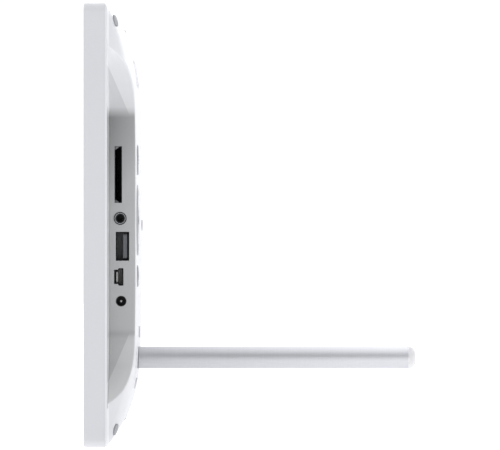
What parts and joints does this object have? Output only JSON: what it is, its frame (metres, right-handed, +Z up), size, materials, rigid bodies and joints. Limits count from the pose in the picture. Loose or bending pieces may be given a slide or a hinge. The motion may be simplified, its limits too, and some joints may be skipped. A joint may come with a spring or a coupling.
{
  "type": "digital photo frame",
  "caption": "Landscape digital photo frame with a pillow-shaped back, a side recess for cards and plugs, round keys and a screw-in stand rod.",
  "frame": {"origin": "centre of the box footprint, on the surface that the frame stands on", "axes": "+X to the port side, across the display; -Y to the viewer of the display, +Y to the rod; +Z up. The display leans back on its rod by 13.26 degrees"},
  "size_m": [0.26, 0.1622, 0.2026],
  "materials": {
    "casing_plastic": "satin moulded ABS, cool white",
    "key_plastic": "satin moulded ABS keys",
    "plug_rubber": "soft grey rubber",
    "rod_metal": "satin anodised aluminium",
    "tip_rubber": "translucent white soft cap",
    "washer_rubber": "thin dark rubber washer",
    "stud_steel": "zinc-plated threaded steel",
    "socket_brass": "machined brass",
    "sheet_steel": "zinc-plated sheet steel",
    "screw_steel": "zinc-plated screws",
    "window_clear": "clear acrylic sheet",
    "panel_dark": "dark display glass with the power off",
    "guide_clear": "clear light guide",
    "gasket_foam": "black foam tape",
    "board_laminate": "green solder mask on glass laminate",
    "chip_black": "moulded epoxy",
    "capacitor_can": "bare aluminium cans",
    "socket_white": "natural nylon",
    "socket_black": "black moulded nylon",
    "socket_metal": "nickel-plated sheet",
    "jack_metal": "bright nickel-plated brass",
    "tongue_grey": "grey moulded nylon",
    "cell_steel": "stainless steel battery can",
    "ribbon_film": "white polyester ribbon",
    "cone_paper": "coated paper cone",
    "magnet_ferrite": "ferrite",
    "wire_sleeve": "red wire insulation",
    "plunger_plastic": "black acetal",
    "pivot_plastic": "natural acetal"
  },
  "bodies": {
    "casing": {"front_bezel": "casing_plastic", "rear_cover": "casing_plastic", "screw_plugs": "plug_rubber", "stand_nuts": "socket_brass", "lcd_front_frame": "sheet_steel", "lcd_rear_tray": "sheet_steel", "lcd_brackets": "sheet_steel", "stand_brackets": "sheet_steel", "speaker_baskets": "sheet_steel", "bracket_screws": "screw_steel", "cover_screws": "screw_steel", "board_screws": "screw_steel", "speaker_screws": "screw_steel", "key_board_screws": "screw_steel", "stand_bracket_screws": "screw_steel", "front_window": "window_clear", "lcd_panel": "panel_dark", "light_guide": "guide_clear", "window_gasket": "gasket_foam", "main_board": "board_laminate", "key_board": "board_laminate", "led_strip": "board_laminate", "processor_chip": "chip_black", "memory_chips": "chip_black", "board_inductors": "chip_black", "board_capacitors": "capacitor_can", "ribbon_sockets": "socket_white", "headphone_jack_body": "socket_black", "dc_jack_body": "socket_black", "coin_cell_holder": "socket_black", "tact_switches": "socket_black", "sd_card_socket": "socket_metal", "usb_a_shell": "socket_metal", "mini_usb_shell": "socket_metal", "headphone_jack_ring": "jack_metal", "dc_jack_pin": "jack_metal", "usb_a_tongue": "tongue_grey", "mini_usb_tongue": "tongue_grey", "coin_cell": "cell_steel", "lcd_ribbon_cable": "ribbon_film", "key_ribbon_cable": "ribbon_film", "speaker_cones": "cone_paper", "speaker_magnets": "magnet_ferrite", "speaker_wires": "wire_sleeve"},
    "menu_body": {"menu_key": "key_plastic", "menu_plunger": "plunger_plastic"},
    "power_body": {"power_key": "key_plastic", "power_plunger": "plunger_plastic"},
    "ok_body": {"ok_key": "key_plastic", "ok_plunger": "plunger_plastic"},
    "nav_pivot_body": {"nav_pivot": "pivot_plastic"},
    "nav_ring_body": {"nav_ring": "key_plastic", "nav_plungers": "plunger_plastic"},
    "washer_body": {"stand_washer": "washer_rubber"},
    "rod_body": {"stand_rod": "rod_metal", "stand_stud": "stud_steel", "stand_tip": "tip_rubber"}
  },
  "joints": [
    {"name": "menu_press", "type": "slide", "parent": "casing", "child": "menu_body", "axis": [0, -0.9733, 0.2293], "range_m": [0, 0.0005], "stiffness_N_per_m": 2000},
    {"name": "power_press", "type": "slide", "parent": "casing", "child": "power_body", "axis": [0, -0.9733, 0.2293], "range_m": [0, 0.0005], "stiffness_N_per_m": 2000},
    {"name": "ok_press", "type": "slide", "parent": "casing", "child": "ok_body", "axis": [0, -0.9733, 0.2293], "range_m": [0, 0.0005], "stiffness_N_per_m": 2000},
    {"name": "nav_tilt_up_down", "type": "hinge", "parent": "casing", "child": "nav_pivot_body", "pos_m": [0.054, -0.03705, 0.10016], "axis": [1, 0, 0], "range_deg": [-2, 2], "stiffness_Nm_per_rad": 0.6},
    {"name": "nav_tilt_left_right", "type": "hinge", "parent": "nav_pivot_body", "child": "nav_ring_body", "pos_m": [0.054, -0.03705, 0.10016], "axis": [0, 0.2293, 0.9733], "range_deg": [-2, 2], "stiffness_Nm_per_rad": 0.6},
    {"name": "stand_advance", "type": "slide", "parent": "casing", "child": "washer_body", "axis": [0, 0.9733, -0.2293], "range_m": [0, 0.008]},
    {"name": "stand_unscrew", "type": "hinge", "parent": "washer_body", "child": "rod_body", "pos_m": [0, -0.0496, 0.03511], "axis": [0, 0.9733, -0.2293], "range_deg": [0, 2881]}
  ],
  "couplings": [
    {"joint": "stand_unscrew", "follows": "stand_advance", "rad_per_m": 6283.2}
  ]
}
